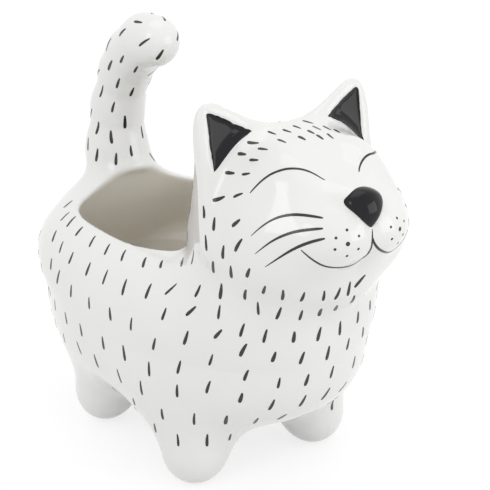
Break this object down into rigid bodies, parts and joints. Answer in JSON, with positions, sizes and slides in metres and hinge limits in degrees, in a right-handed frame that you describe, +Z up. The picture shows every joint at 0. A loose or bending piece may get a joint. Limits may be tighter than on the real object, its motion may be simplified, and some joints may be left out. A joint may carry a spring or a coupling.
{
  "type": "cat shaped planter",
  "caption": "Small ceramic planter in the shape of a standing cat, with an open planting bowl in its back, a raised tail and sleepy closed eyes.",
  "frame": {"origin": "under the middle of the cat's bounding box, on the shelf", "axes": "+Z up, the cat faces -Y, its tail is at +Y and its own left side is +X"},
  "size_m": [0.1094, 0.1916, 0.1684],
  "materials": {
    "white_glaze": "glossy white glaze over earthenware",
    "black_glaze": "glossy black glaze"
  },
  "bodies": {
    "root": {"belly_bowl": "white_glaze", "head": "white_glaze", "ear_left": "white_glaze", "ear_right": "white_glaze", "ear_glaze_left": "black_glaze", "ear_glaze_right": "black_glaze", "nose": "black_glaze", "leg_front_left": "white_glaze", "leg_front_right": "white_glaze", "leg_rear_left": "white_glaze", "leg_rear_right": "white_glaze", "tail": "white_glaze"}
  },
  "joints": []
}
